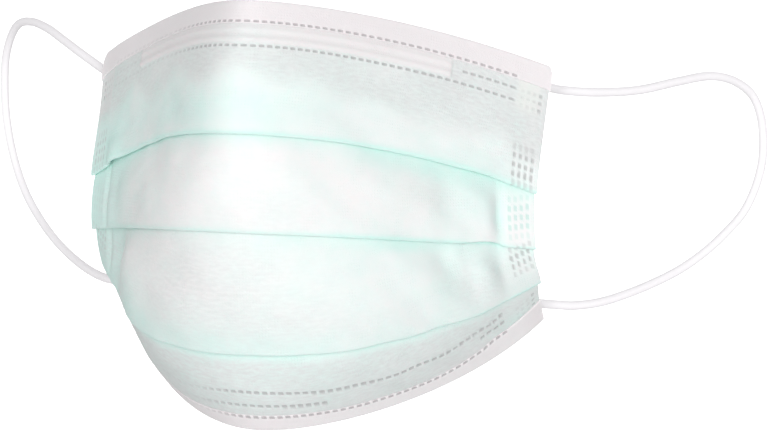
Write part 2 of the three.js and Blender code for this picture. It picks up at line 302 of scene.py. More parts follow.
SOFT_WAVES = Ripples(seed=11, waves=9, shortest=14, longest=34)
SMALL_WAVES = Ripples(seed=23, waves=12, shortest=5, longest=11, stretch=(0.7, 1.3))
SIDE_WAVES = Ripples(seed=37, waves=8, shortest=6, longest=12, stretch=(0.35, 1.1))
SOFT_HEIGHT = 0.3
SMALL_HEIGHT = 0.07
SIDE_HEIGHT = 0.25

# Fine dents beside the side welds: place across, down in cross lines, both reaches, depth in mm
FINE_DENTS = (
    (77.0, 1.55, 1.5, 0.45, 0.42), (73.2, 1.7, 2.6, 0.35, -0.4), (60.0, 1.35, 3.5, 0.3, 0.4),
    (66.3, 2.35, 2.6, 0.5, 0.5), (72.0, 2.45, 3.2, 0.35, -0.6), (77.0, 2.45, 1.9, 0.4, 0.32),
    (-77.0, 1.5, 1.4, 0.5, 0.6), (-73.0, 1.6, 3.0, 0.4, -0.5), (-76.5, 2.5, 1.4, 0.5, 0.5),
    (-87.5, 0.4, 9.0, 0.55, 1.3), (-60.0, 3.2, 16.0, 0.6, 1.2),
)


# Low wrinkles of all the layers together, so that no layer cuts another. The top and bottom edges and the
# side bands stay flat, and beside the bands the cloth is gathered.
def wrinkles(x, count, down):
    side = np.abs(x)
    inside = ramp(down, 6, 22) * smooth_step((LAST_LINE - count) / 0.6) * (1 - ramp(side, 74, 5))
    waves = SOFT_HEIGHT * SOFT_WAVES(x, down) + SMALL_HEIGHT * SMALL_WAVES(x, down)
    waves = waves + SIDE_HEIGHT * bell(side, 70, 7) * SIDE_WAVES(x, down)
    return waves * inside - patch_sum(FINE_DENTS, x, count)


# How far the edge of each fold lifts off the panel below it: in the middle, at the left and at the right
LIP_LIFTS = ((0.12, 1.0, 0.1), (0.12, 0.15, 0.4), (0.15, 0.1, 0.2))
LIP_LENGTH = 7.0  # how far up its panel the edge is lifted


def lip_lift(x, pleat):
    middle, left, right = LIP_LIFTS[pleat]
    return middle * (1 - ramp(np.abs(x), 66, 12)) + left * bell(x, -72, 5) + right * bell(x, 68, 7)


# How far the edge of each fold is drawn up: in the middle, and beside the right side welds
FOLD_RISES = ((0.0, 0.3), (0.0, 1.1), (0.6, 0.2))


def fold_rise(x, pleat):
    middle, right = FOLD_RISES[pleat]
    return middle * (1 - ramp(np.abs(x), 55, 15)) + right * bell(x, 73, 7) * (1 - ramp(x, 76, 3))


# Distance of a panel's cloth from the smooth shape
def panel_out(columns, down, panel):
    across = columns.across
    start = columns.lines[panel]
    end = columns.lines[panel + 1]
    share = (down - start) / (end - start)
    lap = 0 if panel == 0 else -2 * LAYER_PITCH * (1 - share)
    swell = PANEL_PUFF * np.sin(math.pi * np.clip(share, 0, 1)) * (1 - across ** 2)
    out = lap + swell
    if panel < len(PLEATS):
        out = out + lip_lift(columns.x, panel) * smooth_step(1 - (end - down) / LIP_LENGTH)
    return out


CORNER_REACH = 9.0  # how far down a rounded top corner changes the cloth
LEFT_CORNER = 3.4  # rounding of the two top corners
RIGHT_CORNER = 1.2


# How far the rounded top corners bring the top edge down
def corner_drop(x):
    radius = np.where(x < 0, LEFT_CORNER, RIGHT_CORNER)
    past = np.clip(np.abs(x) - (HALF_SHEET - radius), 0, radius)
    return radius - np.sqrt(radius ** 2 - past ** 2)


# Lengths down with the rounded corners, which move only the cloth near the top edge
def below_corner(down, drop):
    return down + drop * np.maximum(1 - down / CORNER_REACH, 0)


# How far a pleat tucks up behind its panel
def tuck_at(columns, pleat):
    height = columns.lines[pleat + 1] - columns.lines[pleat]
    return height * lerp(*PLEATS[pleat], columns.across ** 2)


# The half turn of the cloth at a fold: facing is 1 where the fold points down and -1 where it points up
def fold_turn(down, out, facing, steps=5):
    radius = LAYER_PITCH / 2
    rows = []
    for step in range(1, steps):
        angle = math.pi * step / steps
        rows.append((down + facing * radius * math.sin(angle), out - radius + radius * math.cos(angle)))
    return rows


# Rows of each panel at the middle of the mask: the panel's height there, then stretches of rows with their
# start, end and spacing. They are closer together where the cloth is welded.
PANEL_ROWS = (
    (
        32.1, (0, 4.6, 1.5), (4.6, 7.2, 0.28), (7.2, 10.5, 0.3), (10.6, 12.0, 0.17),
        (12.0, 21, 1.1), (21, 32, 0.6),
    ),
    (23.3, (0.5, 23.0, 0.7)),
    (31.2, (0.5, 31.0, 0.8)),
    (24.9, (0.4, 10.3, 0.8), (10.3, 12.2, 0.17), (12.2, 15.1, 0.7), (15.1, 16.6, 0.17), (16.6, 24.5, 1.0)),
)


# Places of a panel's rows as shares of its height
def row_shares(height, *stretches):
    places = [np.arange(start, end, spacing) for start, end, spacing in stretches]
    return np.concatenate([*places, [height]]) / height


PANEL_SHARES = [row_shares(*rows) for rows in PANEL_ROWS]
HIDDEN_SHARES = np.linspace(0, 1, 4)


# The middle of the cloth down all the columns, through the panels and the folds between them. Each row
# has its lengths down, its distances out, and 1 where it is hidden in a tuck.
def body_rows(columns):
    rows = []
    drop = corner_drop(columns.x)
    for panel, shares in enumerate(PANEL_SHARES):
        start = columns.lines[panel]
        end = columns.lines[panel + 1]
        if panel < len(PLEATS):
            end = end - fold_rise(columns.x, panel)
        first = start + EDGE_INSET if panel == 0 else start
        last = end - EDGE_INSET if panel == LAST_LINE - 1 else end
        for share in shares:
            down = lerp(first, last, share)
            if panel == 0:
                down = below_corner(down, drop)
            rows.append((down, panel_out(columns, down, panel), 0))
        if panel < len(PLEATS):
            inner = end - tuck_at(columns, panel)
            rows.extend((*row, 0) for row in fold_turn(end, panel_out(columns, end, panel), 1))
            for share in HIDDEN_SHARES:
                down = lerp(end, inner, share)
                rows.append((down, panel_out(columns, down, panel) - LAYER_PITCH, 1))
            inner_out = panel_out(columns, inner, panel) - LAYER_PITCH
            rows.extend((*row, 1) for row in fold_turn(inner, inner_out, -1))
            lift = lip_lift(columns.x, panel)
            below = columns.lines[panel + 1]
            for share in HIDDEN_SHARES:
                down = lerp(inner, below, share)
                under = panel_out(columns, down, panel) - 2 * LAYER_PITCH
                under = under - lift * smooth_step(1 - (below - down) / LIP_LENGTH)
                rows.append((down, under, 1))
    return rows


# A path with half a thickness added on each side: front and back outlines
def thicken(down, out, thickness):
    def unit(x, y):
        length = np.maximum(np.hypot(x, y), 1e-9)
        return x / length, y / length

    none = np.zeros((len(down), 1))
    steps = unit(np.diff(down, axis=1), np.diff(out, axis=1))
    x, y = unit(*(np.hstack([none, step]) + np.hstack([step, none]) for step in steps))
    half = thickness / 2
    return (down - y * half, out + x * half), (down + y * half, out - x * half)


# Object made of points and faces, with its UV map and the named facts that its material reads
def mesh_piece(name, points, faces, material, uv, facts, flat_faces=None):
    mesh = bpy.data.meshes.new(name)
    mesh.from_pydata((points.reshape(-1, 3) * MM).tolist(), [], faces)
    mesh.materials.append(material)
    smooth = np.ones(len(faces), bool) if flat_faces is None else ~flat_faces
    mesh.polygons.foreach_set("use_smooth", smooth)
    for fact_name, values in facts.items():
        layer = mesh.attributes.new(fact_name, "FLOAT", "POINT")
        layer.data.foreach_set("value", values.astype(np.float32).ravel())
    loops = np.empty(len(mesh.loops), np.int32)
    mesh.loops.foreach_get("vertex_index", loops)
    layer = mesh.uv_layers.new(name="flat_cloth")
    layer.data.foreach_set("uv", uv.reshape(-1, 2)[loops].astype(np.float32).ravel())
    mesh.update()
    piece = bpy.data.objects.new(name, mesh)
    bpy.context.scene.collection.objects.link(piece)
    return piece


# Quads between the columns of a lattice, and round it where it is a ring
def lattice_faces(width, size, ring):
    index = np.arange(width * size).reshape(width, size)
    ahead = np.roll(index, -1, axis=1)
    if not ring:
        index, ahead = index[:, :-1], ahead[:, :-1]
    return np.stack([index[:-1], ahead[:-1], ahead[1:], index[1:]], axis=-1).reshape(-1, 4)


# Quads that close the two ends of a ring lattice, from its front rows to its back rows
def end_faces(width, size):
    rows = size // 2
    index = np.arange(width * size).reshape(width, size)
    caps = []
    for column, turned in ((0, True), (width - 1, False)):
        front, back = index[column, :rows], index[column, rows:][::-1]
        cap = np.stack([front[:-1], front[1:], back[1:], back[:-1]], axis=-1)
        caps.append(cap[:, ::-1] if turned else cap)
    return np.concatenate(caps)


def mirrored_rows(values):
    return np.hstack([values, values[:, ::-1]])


# A closed strip swept across the mask. pressed is how far each place of it is pushed in.
def sweep_strip(name, columns, down, out, thickness, material, pressed, facts):
    front, back = thicken(down, out, thickness)
    ring_down = np.hstack([front[0], back[0][:, ::-1]])
    ring_out = np.hstack([front[1], back[1][:, ::-1]]) - mirrored_rows(pressed)
    points = columns.points(ring_down, ring_out)
    faces = np.concatenate([lattice_faces(*points.shape[:2], True), end_faces(*points.shape[:2])])
    uv = mirrored_rows(flat_uv(columns, down, out))
    facts = {key: mirrored_rows(values) for key, values in facts.items()}
    return mesh_piece(name, points, faces.tolist(), material, uv, facts)


UV_SIZE = 180.0  # millimetres of flat cloth across the whole UV square


# UV map of the flat cloth: across, and the length along the folded path
def flat_uv(columns, down, out):
    steps = np.hypot(np.diff(down, axis=1), np.diff(out, axis=1))
    along = np.hstack([np.zeros((len(down), 1)), np.cumsum(steps, axis=1)])
    u = np.broadcast_to(columns.x[:, None], down.shape)
    return np.stack([u / UV_SIZE + 0.5, along / UV_SIZE], axis=-1)


# Weld pattern of the side bands: four columns of dots in each of three panels
DOT_COLUMNS = (79.9, 81.7, 83.5, 85.3)
DOT_WIDTH = 0.95
DOT_HEIGHT = 1.4
DOT_GRIDS = (  # first row, pitch, rows, slope of the rows, slope of the columns, shift across, depth
    (22.9, 2.2, 5, 0.0, 0.04, 0.0, 0.85),
    (35.2, 2.35, 5, 0.34, 0.0, 0.0, 0.2),
    (47.3, 2.15, 4, 0.6, 0.06, 0.5, 0.75),
)
END_DOT_SHARE = 0.5  # the first and last rows are welded less deep
DOT_EDGE = 0.16  # softness of the edge of a dot or a dash
DOT_POWER = 6  # how square its corners are


# 1 inside an upright rounded dot and 0 outside it, with a soft edge
def dot(x, y, half_width, half_height):
    distance = (np.abs(x) / half_width) ** DOT_POWER + (np.abs(y) / half_height) ** DOT_POWER
    return 1 - smooth_step((distance ** (1 / DOT_POWER) - 1 + DOT_EDGE) / (2 * DOT_EDGE))


# Dots of one panel's grid
def side_dots(x, down, grid):
    first, pitch, rows, row_slope, column_slope, shift, depth = grid
    total = np.zeros(down.shape)
    centre = sum(DOT_COLUMNS) / len(DOT_COLUMNS)
    for place in DOT_COLUMNS:
        for row in range(rows):
            from_x = np.abs(x) - place - shift - column_slope * pitch * (row - (rows - 1) / 2)
            from_down = down - first - pitch * row + row_slope * (place - centre)
            share = END_DOT_SHARE if row in (0, rows - 1) else 1
            total = np.maximum(total, share * dot(from_x, from_down, DOT_WIDTH / 2, DOT_HEIGHT / 2))
    return total * depth


# Small weld marks where the ends of the ear loops are fixed behind the corners, darker at the edge
LOOP_WELD_ROWS = (8.6, 10.4, 12.3)
LOOP_WELD_SHARES = (0.2, 0.25, 0.3, 0.8)
LOOP_WELD_RADIUS = 0.45


def loop_welds(x, from_edge):
    total = np.zeros(from_edge.shape)
    for place, share in zip(DOT_COLUMNS, LOOP_WELD_SHARES):
        for row in LOOP_WELD_ROWS:
            spot = dot(np.abs(x) - place, from_edge - row, LOOP_WELD_RADIUS, LOOP_WELD_RADIUS)
            total = np.maximum(total, spot * share)
    return total


# Rows of short welds with a pitch along the strip
DASH_PITCH = 2.4
DASH_LENGTH = 1.55
DASH_HEIGHT = 0.66
LOW_DASH_HEIGHT = 1.0  # of the rows near the bottom edge

# The dashes are closer together over the nose and wider apart to its left: shift, place, reach
DASH_SHIFTS = ((4.8, 5, 16), (-7.0, -40, 22))
DASH_SCALE_END = 100.0


# Lengths along a row of dashes for places across
def dash_scale(x):
    total = x
    for shift, place, reach in DASH_SHIFTS:
        total = total + shift * (np.tanh((x - place) / reach) - 1)
    return total


# Places across for lengths along a row of dashes
def across_at(length):
    places = np.linspace(-DASH_SCALE_END, DASH_SCALE_END, 801)
    return np.interp(length, dash_scale(places), places)


# A row of dashes between two distances from the middle
def dash_row(x, from_row, first, last, height=DASH_HEIGHT):
    length = dash_scale(x)
    place = np.round(length / DASH_PITCH) * DASH_PITCH
    from_nose = np.abs(across_at(place))
    chosen = (from_nose >= first) & (from_nose <= last)
    return dot(length - place, from_row, DASH_LENGTH / 2, height / 2) * chosen


# How far the lower rows and the bottom strip's leaf rise towards the right end
def low_rise(x):
    return 2.4 * ramp(x, 52, 22)


# Columns of the meshes, lined up with the ends of the dashes and with the dots of the side bands
DASH_COLUMNS = np.array([-1.2, -0.87, -0.68, 0, 0.68, 0.87])
DOT_OFFSETS = np.array([-0.6, -0.36, 0, 0.36, 0.6])
STRIP_ENDS = np.array([0.02, 0.3, 0.7, 1.2, 1.8])


def dash_places(limit):
    count = int(limit / DASH_PITCH) + 4
    places = across_at(np.hstack([step * DASH_PITCH + DASH_COLUMNS for step in range(-count, count + 1)]))
    return places[np.abs(places) < limit]


# Columns of the sheet in shares of its half width
def body_columns():
    dots = [place + DOT_OFFSETS for place in DOT_COLUMNS]
    band = np.hstack([78.2, 78.8, *dots, 86.35, 86.75, HALF_SHEET])
    return np.hstack([-band[::-1], dash_places(77.6), band]) / HALF_SHEET


def strip_columns():
    limit = HALF_SHEET + STRIP_OVERHANG
    ends = limit - STRIP_ENDS
    return np.sort(np.hstack([-limit, -ends, dash_places(limit - 2.2), ends, limit])) / HALF_SHEET


# Camera at the photograph's angle, found from its outline and weld lines
CAMERA_AZIMUTH = 16.18
CAMERA_ELEVATION = 8.42
CAMERA_ROLL = 0.1
CAMERA_DISTANCE = 727.2
CAMERA_TARGET = (25.45, 28.41, -54.11)
CAMERA_LENS = 139.4


def add_camera():
    turned = Matrix.Rotation(math.radians(CAMERA_AZIMUTH), 3, "Z")
    tilted = Matrix.Rotation(math.radians(90 - CAMERA_ELEVATION), 3, "X")
    rotation = turned @ tilted @ Matrix.Rotation(math.radians(CAMERA_ROLL), 3, "Z")
    data = bpy.data.cameras.new("camera")
    data.sensor_width = 36
    data.lens = CAMERA_LENS
    data.clip_start = 0.01
    data.clip_end = 50
    camera = bpy.data.objects.new("camera", data)
    camera.matrix_world = rotation.to_4x4()
    camera.location = (Vector(CAMERA_TARGET) + rotation.col[2] * CAMERA_DISTANCE) * MM
    bpy.context.scene.collection.objects.link(camera)
    bpy.context.scene.camera = camera


add_camera()


# Middle of a cord where it lies against the inner leaf of a strip
def cord_seat(side, inward, panel):
    columns = Columns([side * (1 - inward / HALF_SHEET)])
    lean = CORD_SEAT_SLOPE * inward
    down = np.array([CORD_SEAT_DOWN + lean])
    if panel > 0:
        down = columns.lines[-1] - CORD_SEAT_UP - lean
    behind = STRIP_OUT + STRIP_THICKNESS / 2 + STRIP_GAP + CORD_DIAMETER / 2
    out = panel_out(columns, down, panel) - behind
    return columns.points(down[:, None], out[:, None])[0, 0]

CURVE_STEPS = 40  # between two points of a route


# Smooth curve through points, at even steps
def curve_through(points, spacing):
    points = np.array(points, float)
    knots = np.concatenate([[2 * points[0] - points[1]], points, [2 * points[-1] - points[-2]]])
    t = np.linspace(0, 1, CURVE_STEPS, endpoint=False)[:, None]
    made = []
    for index in range(len(points) - 1):
        slope, square, cube = curve_terms(*knots[index : index + 4])
        made.append(points[index] + slope * t + square * t ** 2 + cube * t ** 3)
    line = np.concatenate([*made, points[-1:]])
    lengths = lengths_along(line)
    places = np.linspace(0, lengths[-1], int(lengths[-1] / spacing) + 1)
    return np.stack([np.interp(places, lengths, line[:, axis]) for axis in range(3)], axis=-1), places


CORD_RINGS = 0.32  # spacing of the rings along a cord
CORD_SIDES = 20
CORD_END = 0.8  # length of its rounded ends
CORD_TIP = 0.04  # square of the radius left at the tip, as a share
CORD_NORMAL = (0.3, 0.2, 1.0)  # any direction that no cord starts in
KNIT_HEIGHT = 0.05
KNIT_LENGTH = 1.5  # length of one stitch of the knitted cover
KNIT_RIBS = 5


# A knitted cord along a line, with slanting stitches pressed into its round section
def knitted_cord(name, line, places, material):
    tangents = np.gradient(line, axis=0)
    tangents /= np.linalg.norm(tangents, axis=1, keepdims=True)
    normal = np.cross(tangents[0], CORD_NORMAL)
    normals = []
    for tangent in tangents:
        normal = normal - tangent * (normal @ tangent)
        normal = normal / np.linalg.norm(normal)
        normals.append(normal)
    normals = np.array(normals)
    binormals = np.cross(tangents, normals)
    angle = 2 * math.pi * np.arange(CORD_SIDES) / CORD_SIDES
    slant = 2 * math.pi * places[:, None] / KNIT_LENGTH
    knit = np.cos(KNIT_RIBS * angle + slant) * np.cos(KNIT_RIBS * angle - slant)
    radius = CORD_DIAMETER / 2 - KNIT_HEIGHT * (1 - knit) / 2
    from_end = np.minimum(np.minimum(places, places[-1] - places) / CORD_END, 1)
    radius = radius * np.sqrt(np.clip(1 - (1 - from_end) ** 2, CORD_TIP, 1))[:, None]
    rings = (
        line[:, None]
        + normals[:, None] * (radius * np.cos(angle))[..., None]
        + binormals[:, None] * (radius * np.sin(angle))[..., None]
    )
    count = len(line)
    quads = lattice_faces(count, CORD_SIDES, True).tolist()
    tips = [list(range(CORD_SIDES))[::-1], list(range((count - 1) * CORD_SIDES, count * CORD_SIDES))]
    around = np.broadcast_to(np.arange(CORD_SIDES) / CORD_SIDES, knit.shape)
    along = np.broadcast_to(places[:, None] / UV_SIZE, knit.shape)
    return mesh_piece(name, rings, quads + tips, material, np.stack([around, along], axis=-1), {})


# A new material, with short ways to make and link its nodes
class Surface:
    def __init__(self, name, **values):
        self.material = bpy.data.materials.new(name)
        self.material.use_nodes = True
        self.tree = self.material.node_tree
        self.shader = self.tree.nodes["Principled BSDF"]
        self.fill(self.shader, Specular_IOR_Level=0.25, **values)

    # Gives inputs plain values, or links from other nodes
    def put(self, sockets, values):
        for socket, value in zip(sockets, values):
            if isinstance(value, bpy.types.NodeSocket):
                self.tree.links.new(value, socket)
            else:
                socket.default_value = value

    def fill(self, node, **values):
        self.put([node.inputs[key.replace("_", " ")] for key in values], values.values())

    # The first output of a new node whose named inputs are set
    def add(self, kind, **values):
        node = self.tree.nodes.new("ShaderNode" + kind)
        self.fill(node, **values)
        return node.outputs[0]

    def noise(self, place, **values):
        return self.add("TexNoise", Vector=place, **values)

    def calculate(self, operation, *values):
        node = self.tree.nodes.new("ShaderNodeMath")
        node.operation = operation
        self.put(node.inputs, values)
        return node.outputs[0]

    def multiply(self, first, second):
        return self.calculate("MULTIPLY", first, second)

    # Takes a value from one range to another
    def mapped(self, value, low, high, start=0.0, end=1.0):
        return self.add("MapRange", Value=value, From_Min=low, From_Max=high, To_Min=start, To_Max=end)

    def blend(self, share, first, second):
        node = self.tree.nodes.new("ShaderNodeMix")
        node.data_type = "RGBA"
        colours = [socket for socket in node.inputs if socket.type == "RGBA"]
        self.put([node.inputs[0], *colours], (share, first, second))
        return next(socket for socket in node.outputs if socket.type == "RGBA")

    # A named fact of the mesh
    def fact(self, name):
        node = self.tree.nodes.new("ShaderNodeAttribute")
        node.attribute_name = name
        return node.outputs["Fac"]


BOND_PITCH = 1.5  # between the bond points of the nonwoven
BOND_TINT = 0.08  # how much of the deep colour a bond point adds
FIBRE_HEIGHT = 0.6
STREAK_STRETCH = 3.0  # streaks are so much longer across than down
CREAM = (0.86, 0.885, 0.845, 1)  # of the right top corner


# Nonwoven cloth: cloudy fibres, a lattice of small bond points, and darker glassy welds. The lined colour is
# the grey where a turned-in hem shows through and where painted shade greys the cloth; the deep colour is the
# cloth's deeper mint and painted shade at the folds and in patches; pale is the colour over the wire and the
# patches, and painted light on the bottom strip's leaf.
def nonwoven(name, light, deep, lining_and_shade, pale, weld, bond_depth, cloud):
    cloth = Surface(name, Roughness=0.82, Sheen_Weight=0.1)
    multiply = cloth.multiply
    place = cloth.add("UVMap")
    split = cloth.tree.nodes.new("ShaderNodeSeparateXYZ")
    cloth.put(split.inputs, [place])
    across, down = split.outputs[:2]
    clouds = cloth.noise(place, Scale=16.0, Detail=6.0, Roughness=0.62)
    patches = cloth.noise(place, Scale=34.0, Detail=2.0)
    fibres = cloth.noise(place, Scale=420.0, Detail=3.0, Distortion=1.6)
    stretched = cloth.add("CombineXYZ", X=across, Y=multiply(down, STREAK_STRETCH))
    streaks = cloth.noise(stretched, Scale=80.0, Detail=6.0)
    x, y = multiply(across, UV_SIZE), multiply(down, UV_SIZE)
    waves = [
        cloth.calculate("SINE", multiply(cloth.calculate(sign, x, y), 2 * math.pi / BOND_PITCH))
        for sign in ("ADD", "SUBTRACT")
    ]
    bonds = multiply(cloth.mapped(multiply(*waves), 0.35, 0.85), cloth.mapped(patches, 0.45, 0.65))
    height = cloth.calculate("SUBTRACT", multiply(fibres, FIBRE_HEIGHT), multiply(bonds, bond_depth))
    # Deep colour: the cloth's mint clouds, and painted shade at the folds and in patches from the mesh
    depth = cloth.calculate("ADD", cloth.mapped(clouds, 0.38, 0.68, end=cloud), cloth.fact("folded"))
    depth = cloth.calculate("ADD", depth, multiply(bonds, BOND_TINT))
    streaky = cloth.mapped(streaks, 0.35, 0.65, start=0.6)
    mottled = multiply(cloth.mapped(fibres, 0.3, 0.7, start=0.8), streaky)
    base = cloth.blend(cloth.calculate("MINIMUM", depth, 1.0), light, deep)
    # Grey lined colour: a turned-in hem showing through, and painted shade
    base = cloth.blend(multiply(cloth.fact("lining_and_shade"), mottled), base, lining_and_shade)
    for key, colour in (("pale", pale), ("cream", CREAM), ("weld", weld)):
        base = cloth.blend(cloth.fact(key), base, colour)
    cloth.fill(
        cloth.shader, Base_Color=base, Normal=cloth.add("Bump", Height=height, Distance=0.0002, Strength=0.5),
        Subsurface_Weight=0.25, Subsurface_Radius=(0.7, 1.0, 0.9), Subsurface_Scale=0.0012,
    )
    return cloth.material


def elastic():
    cord = Surface("elastic_cord", Roughness=0.75, Sheen_Weight=0.15)
    threads = cord.noise(cord.add("UVMap"), Scale=900.0, Detail=3.0)
    # Painted glow: a weak emission brightens the cord where the mask's edge shades it
    cord.fill(
        cord.shader, Base_Color=cord.blend(threads, (0.93, 0.91, 0.93, 1), (0.86, 0.84, 0.86, 1)),
        Normal=cord.add("Bump", Height=threads, Distance=0.0001, Strength=0.4),
        Emission_Color=(1.0, 0.97, 1.0, 1), Emission_Strength=0.06,
    )
    return cord.material


def coated_wire():
    wire = Surface("coated_wire", Roughness=0.4)
    streaks = wire.noise(wire.add("UVMap"), Scale=60.0, Detail=2.0)
    colour = wire.blend(streaks, (0.9, 0.9, 0.89, 1), (0.82, 0.82, 0.81, 1))
    wire.fill(wire.shader, Base_Color=colour)
    return wire.material


MINT = nonwoven(
    "mint_cloth", light=(0.945, 0.935, 0.935, 1), deep=(0.68, 0.93, 0.87, 1), lining_and_shade=(0.70, 0.715, 0.715, 1),
    pale=(0.85, 0.825, 0.83, 1), weld=(0.52, 0.53, 0.53, 1), bond_depth=0.5, cloud=0.26,
)
LINING = nonwoven(
    "lining_cloth", light=(0.93, 0.93, 0.925, 1), deep=(0.84, 0.86, 0.85, 1), lining_and_shade=(0.88, 0.88, 0.875, 1),
    pale=(0.93, 0.93, 0.925, 1), weld=(0.7, 0.72, 0.71, 1), bond_depth=0.4, cloud=0.3,
)
# Its pale colour serves only as painted light on the bottom strip's leaf
STRIP = nonwoven(
    "strip_cloth", light=(0.95, 0.925, 0.935, 1), deep=(0.88, 0.86, 0.87, 1), lining_and_shade=(0.78, 0.77, 0.775, 1),
    pale=(1.0, 0.99, 0.995, 1), weld=(0.56, 0.54, 0.55, 1), bond_depth=0.35, cloud=0.3,
)
ELASTIC = elastic()
WIRE = coated_wire()


def place_piece(piece, node):
    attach(piece, "root")
    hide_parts(node)
    return piece

# Lengths down and distances out of a list of rows, as two arrays
def stack(rows):
    return np.stack([row[0] for row in rows], axis=1), np.stack([row[1] for row in rows], axis=1)


# An ear loop: its two seats behind the strips and its route between them
def ear_loop(name, side, route, node):
    inwards = (CORD_SEAT_LENGTH, CORD_SEAT_LENGTH / 2, -STRIP_OVERHANG)
    top = [cord_seat(side, inward, 0) for inward in inwards]
    bottom = [cord_seat(side, inward, LAST_LINE - 1) for inward in reversed(inwards)]
    line, places = curve_through([*top, *route, *bottom], CORD_RINGS)
    loop = knitted_cord(name, line, places, ELASTIC)
    place_piece(loop, node)
    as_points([tuple(point) for point in line[::4] * MM] + [tuple(line[-1] * MM)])


ear_loop("elastic_loop_right", 1, RIGHT_ROUTE, "ear_loop_right")
ear_loop("elastic_loop_left", -1, LEFT_ROUTE, "ear_loop_left")


BOTTOM_ROWS_UP = (4.9, 9.2, 13.9)  # weld rows above the bottom edge
TOP_ROWS_DOWN = (5.5, 8.5, 11.6)  # weld rows below the top edge
ROW_END = 75.5  # where the long rows end at each side
SHORT_ROW = 62.5  # where the middle rows begin at each side
LOW_MIDDLE_END = 19.0  # where the short row at the middle ends
WELD_DEPTH = 0.15  # how far the welds are pressed into the outer cloth
STRIP_WELD_DEPTH = 0.15  # and how far those of the strips press strip and sheet
GROOVE_REACH = 0.45  # of the grooves along the strips' own weld rows

# Low rows of the sheet: length up, from and to distances from the middle, share of the rise at the right
LOW_ROWS = (
    (BOTTOM_ROWS_UP[1], SHORT_ROW + 4, ROW_END, 1.0),
    (BOTTOM_ROWS_UP[2], 0, ROW_END, 0.3),
    (BOTTOM_ROWS_UP[1], 0, LOW_MIDDLE_END, 0.0),
)

LEFT_DOTS = 0.55  # depth of the dots on the left

# The cloth over the wire: a low bar with a rounded ridge along each of the two cores
COVER_DOWN = 8.4
COVER_WIDTH = 4.2
COVER_EDGE = 0.5
COVER_TOP_EDGE = 0.9  # softer edge towards the strip
BAR_HEIGHT = 0.16
RIDGES = ((0.22, -0.9, 0.55), (0.32, 1.6, 0.65))  # height, length below the middle, reach

# Painted shade: where the outer cloth is given a deeper mint for shade under the folds and on the left,
# turned from the light: place across in mm, down in cross lines, both reaches, strength
MINT_SHADE_PATCHES = (
    (-82, 1.5, 20, 1.5, 0.75), (-74, 3.2, 16, 1.0, 0.4), (-38, 0.75, 22, 0.25, 0.3),
    (-5, 0.85, 30, 0.22, 0.35), (35, 0.9, 30, 0.2, 0.10), (66, 1.25, 10, 0.3, 0.4),
    (77.0, 1.65, 1.6, 0.45, 0.5), (80, 1.0, 8, 0.12, 0.3), (62, 2.5, 12, 0.5, 0.25),
    (-10, 2.9, 45, 0.13, 0.35), (-43, 2.7, 13, 0.3, 0.5), (-70, 1.47, 8, 0.3, 0.2),
    (-68, 0.9, 9, 0.3, 0.2), (80, 3.55, 7, 0.2, 0.5), (50, 1.12, 15, 0.12, 0.4),
    (45, 2.08, 14, 0.07, 0.35), (79.5, 0.5, 2.5, 0.1, 0.35), (-78, 2.4, 9, 0.5, 0.35),
    (-20, 3.4, 30, 0.4, 0.3), (25, 3.3, 40, 0.4, 0.2),
)
# Where the painted deep mint is taken away, so that the outer cloth stays plain pale
WHITE_PATCHES = (
    (0, 1.45, 30, 0.35, 0.5),
    (-25, 2.3, 20, 0.3, 0.4),
    (82, 1.65, 4, 0.4, 0.15),
)
# Painted shade: where the outer cloth is made greyer to stand in for shade, and painted light where the
# strength is negative, which makes it lighter
GREY_SHADE_PATCHES = (
    (-70, 1.45, 10, 0.35, 0.45), (-62, 2.45, 22, 0.5, 0.6), (-14, 2.45, 22, 0.45, 0.6),
    (14, 2.75, 26, 0.25, 0.45), (68, 2.55, 12, 0.45, 0.6), (84, 0.55, 6, 0.3, 0.4),
    (3, 1.35, 15, 0.35, 0.22), (6, 2.3, 14, 0.25, 0.25), (79.5, 0.5, 2.5, 0.1, 0.3),
    (-77, 2.35, 8, 0.4, 0.3), (-78, 1.6, 5, 0.3, 0.3), (58, 1.38, 16, 0.35, 0.38),
    (10, 1.8, 14, 0.25, 0.25), (77, 0.8, 6, 0.25, 0.35), (37, 0.38, 10, 0.15, -0.25),
    (56, 0.38, 8, 0.15, 0.25), (-41, 0.42, 16, 0.2, -0.3), (80, 3.6, 6, 0.22, -0.5),
)


# How strongly the nose wire shows through the cloth: 1 over it and 0 beside it
def wire_cover(x, down):
    inside = 1 - ramp(np.abs(x), WIRE_LENGTH / 2, COVER_EDGE)
    below = 1 - ramp(down, COVER_DOWN + COVER_WIDTH / 2, COVER_EDGE)
    above = ramp(down, COVER_DOWN - COVER_WIDTH / 2 - COVER_TOP_EDGE, COVER_TOP_EDGE)
    return inside * below * above


def wire_relief(x, down):
    ridges = sum(height * bell(down, COVER_DOWN + below, reach) for height, below, reach in RIDGES)
    return wire_cover(x, down) * (BAR_HEIGHT + ridges)


# The welds are pressed less deep on the left
def weld_depth(x, low_row):
    return lerp(0.15, 1.0, ramp(x, -18, 18)) if low_row else lerp(0.2, 1.0, ramp(x, -36, 28))


# Depth of the welds of the sheet, from 0 to 1
def sheet_welds(x, down, up, dots):
    weld = (np.maximum(dots[0], dots[1]) + dots[2]) * lerp(LEFT_DOTS, 1.0, x > 0)
    weld = np.maximum(weld, loop_welds(x, down))
    weld = np.maximum(weld, loop_welds(x, up))
    for row, first in ((TOP_ROWS_DOWN[1], SHORT_ROW - 1), (TOP_ROWS_DOWN[2], 0)):
        weld = np.maximum(weld, dash_row(x, down - row, first, ROW_END + 2) * weld_depth(x, False))
    for row, first, last, rise in LOW_ROWS:
        welded = dash_row(x, up - row - rise * low_rise(x), first, last, LOW_DASH_HEIGHT)
        weld = np.maximum(weld, welded * weld_depth(x, True))
    return weld


